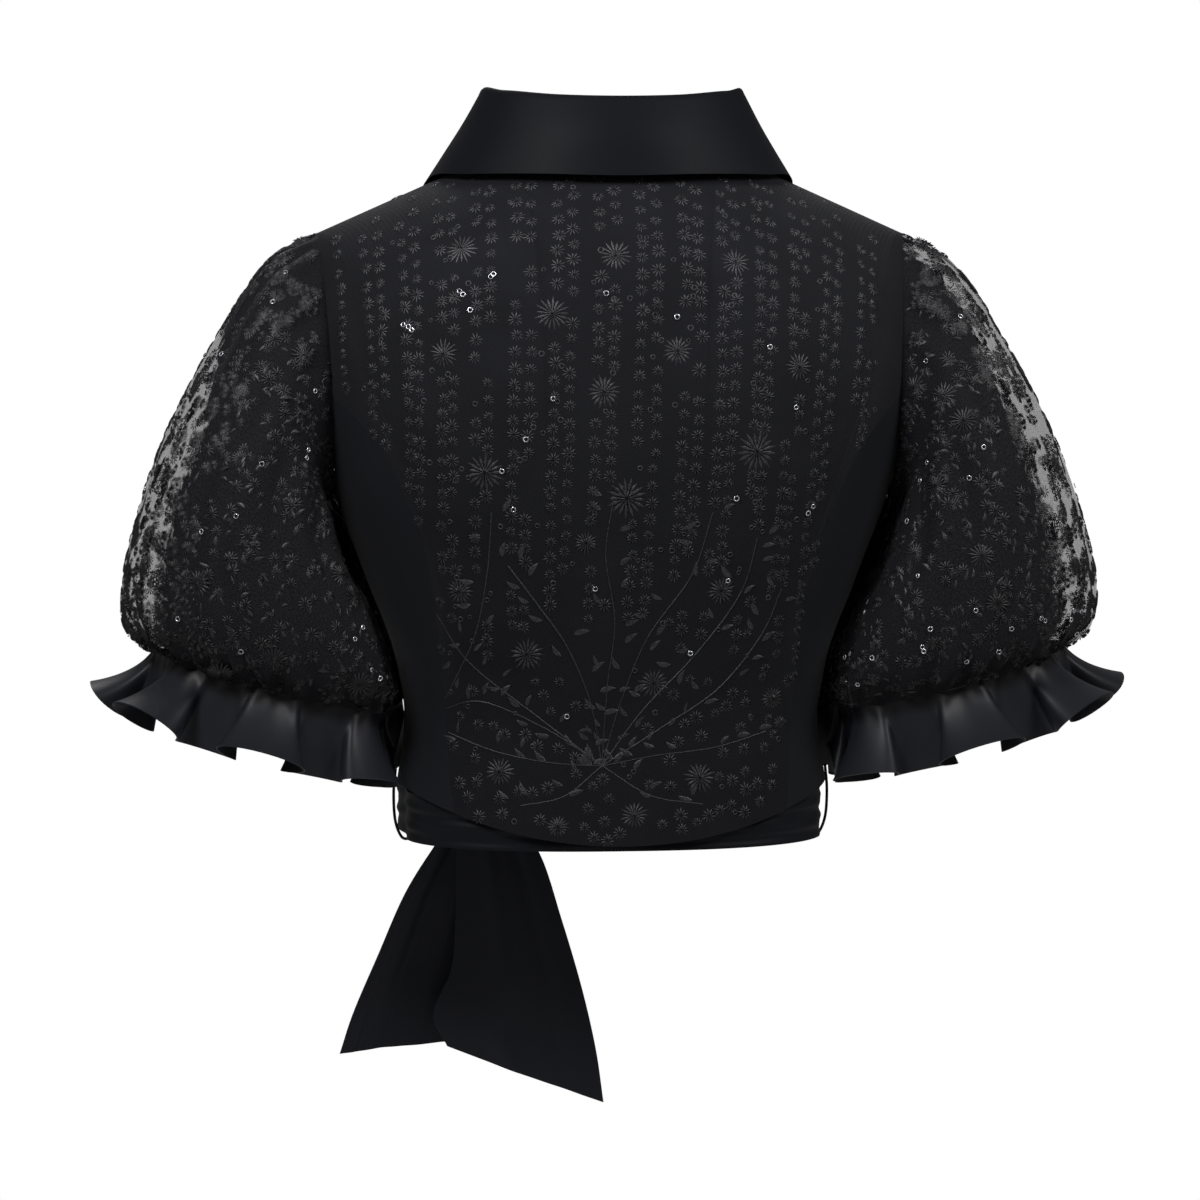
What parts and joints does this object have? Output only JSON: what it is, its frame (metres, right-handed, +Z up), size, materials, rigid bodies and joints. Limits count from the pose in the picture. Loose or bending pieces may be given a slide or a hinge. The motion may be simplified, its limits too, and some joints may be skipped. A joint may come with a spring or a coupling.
{
  "type": "lace top",
  "caption": "Cropped black lace top as worn, with turned-down satin collar, sheer puff sleeves with satin cuff ruffles and a satin sash knotted at the front.",
  "frame": {"origin": "midway between the two points where the neckline meets the shoulder seams, where the wearer's shoulders and neck carry the garment", "axes": "+Z up, -Y towards the wearer's front, +Y towards the wearer's back, +X towards the wearer's left"},
  "size_m": [0.6438, 0.2415, 0.6522],
  "materials": {
    "lace_on_ground": "black embroidered net over a matt black ground",
    "plain_crepe": "smooth matt black crepe",
    "satin": "smooth black satin with a soft sheen",
    "sheer_lace": "see-through black net with black embroidery",
    "loop_cord": "thin black covered loop"
  },
  "bodies": {
    "root": {"back_centre": "lace_on_ground", "side_back_left": "plain_crepe", "side_back_right": "plain_crepe", "front_left": "lace_on_ground", "front_right": "lace_on_ground", "collar_stand": "satin", "collar_fall": "satin", "sleeve_left": "sheer_lace", "sleeve_right": "sheer_lace", "ruffle_left": "satin", "ruffle_right": "satin", "sash": "satin", "sash_knot": "satin", "sash_tail_front": "satin", "sash_tail_rear": "satin", "sash_loop_left": "loop_cord", "sash_loop_right": "loop_cord"}
  },
  "joints": []
}
